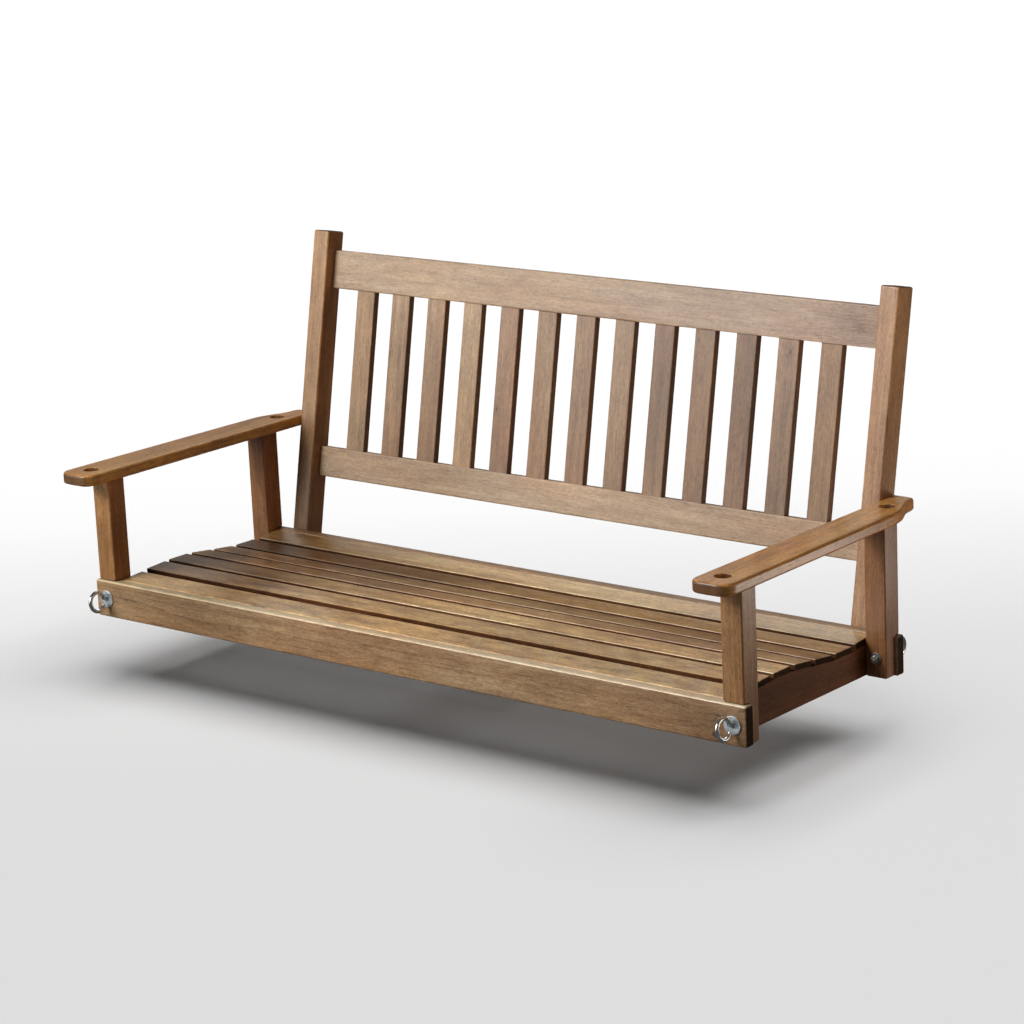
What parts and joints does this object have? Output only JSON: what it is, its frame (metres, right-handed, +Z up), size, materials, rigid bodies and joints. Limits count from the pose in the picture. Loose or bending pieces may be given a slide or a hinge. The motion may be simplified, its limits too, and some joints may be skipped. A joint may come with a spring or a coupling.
{
  "type": "porch swing seat",
  "caption": "Slatted hardwood porch swing seat with arms, a leaning slatted back and eye bolts for hanging chains.",
  "frame": {"origin": "centre of the footprint's bounding box, on the plane of the rails' flat undersides", "axes": "+X across the width to the right of someone facing the seat, +Y from the front edge to the back, +Z up"},
  "size_m": [1.293, 0.5862, 0.5519],
  "materials": {
    "frame_wood": "satin oil on straight-grained brown hardwood",
    "side_rail_wood": "satin oil on darker brown hardwood",
    "seat_wood": "satin oil on brown hardwood, boards of mixed tone",
    "arm_wood": "satin oil on golden brown hardwood",
    "back_wood": "satin oil on light brown hardwood",
    "zinc_steel": "bright zinc plate"
  },
  "bodies": {
    "swing_frame": {"front_rail": "frame_wood", "rear_rail": "frame_wood", "side_rail_left": "side_rail_wood", "side_rail_right": "side_rail_wood", "seat_support_center": "side_rail_wood", "front_post_left": "frame_wood", "front_post_right": "frame_wood", "rear_post_left": "frame_wood", "rear_post_right": "frame_wood", "arm_left": "arm_wood", "arm_right": "arm_wood", "seat_slat_1": "seat_wood", "seat_slat_2": "seat_wood", "seat_slat_3": "seat_wood", "seat_slat_4": "seat_wood", "seat_slat_5": "seat_wood", "seat_slat_6": "seat_wood", "seat_slat_7": "seat_wood", "back_post_left": "back_wood", "back_post_right": "back_wood", "back_top_rail": "back_wood", "back_lower_rail": "back_wood", "back_slat_01": "back_wood", "back_slat_02": "back_wood", "back_slat_03": "back_wood", "back_slat_04": "back_wood", "back_slat_05": "back_wood", "back_slat_06": "back_wood", "back_slat_07": "back_wood", "back_slat_08": "back_wood", "back_slat_09": "back_wood", "back_slat_10": "back_wood", "back_slat_11": "back_wood", "back_slat_12": "back_wood", "back_slat_13": "back_wood", "lag_bolt_lower_left": "zinc_steel", "lag_bolt_upper_left": "zinc_steel", "lag_bolt_lower_right": "zinc_steel", "lag_bolt_upper_right": "zinc_steel", "arm_dowel_left": "back_wood", "arm_dowel_right": "back_wood"},
    "eye_front_left": {"eye_bolt_front_left": "zinc_steel", "eye_washer_front_left": "zinc_steel", "nut_washer_front_left": "zinc_steel", "nut_front_left": "zinc_steel"},
    "eye_front_right": {"eye_bolt_front_right": "zinc_steel", "eye_washer_front_right": "zinc_steel", "nut_washer_front_right": "zinc_steel", "nut_front_right": "zinc_steel"},
    "eye_rear_left": {"eye_bolt_rear_left": "zinc_steel", "eye_washer_rear_left": "zinc_steel", "nut_washer_rear_left": "zinc_steel", "nut_rear_left": "zinc_steel"},
    "eye_rear_right": {"eye_bolt_rear_right": "zinc_steel", "eye_washer_rear_right": "zinc_steel", "nut_washer_rear_right": "zinc_steel", "nut_rear_right": "zinc_steel"}
  },
  "joints": [
    {"name": "eye_swivel_front_left", "type": "hinge", "parent": "swing_frame", "child": "eye_front_left", "pos_m": [-0.612, -0.24115, 0.03], "axis": [0, -1, 0], "range_deg": [-90, 90]},
    {"name": "eye_swivel_front_right", "type": "hinge", "parent": "swing_frame", "child": "eye_front_right", "pos_m": [0.612, -0.24115, 0.03], "axis": [0, -1, 0], "range_deg": [-90, 90]},
    {"name": "eye_swivel_rear_left", "type": "hinge", "parent": "swing_frame", "child": "eye_rear_left", "pos_m": [-0.612, 0.15885, 0.03], "axis": [0, 1, 0], "range_deg": [-90, 90]},
    {"name": "eye_swivel_rear_right", "type": "hinge", "parent": "swing_frame", "child": "eye_rear_right", "pos_m": [0.612, 0.15885, 0.03], "axis": [0, 1, 0], "range_deg": [-90, 90]}
  ]
}
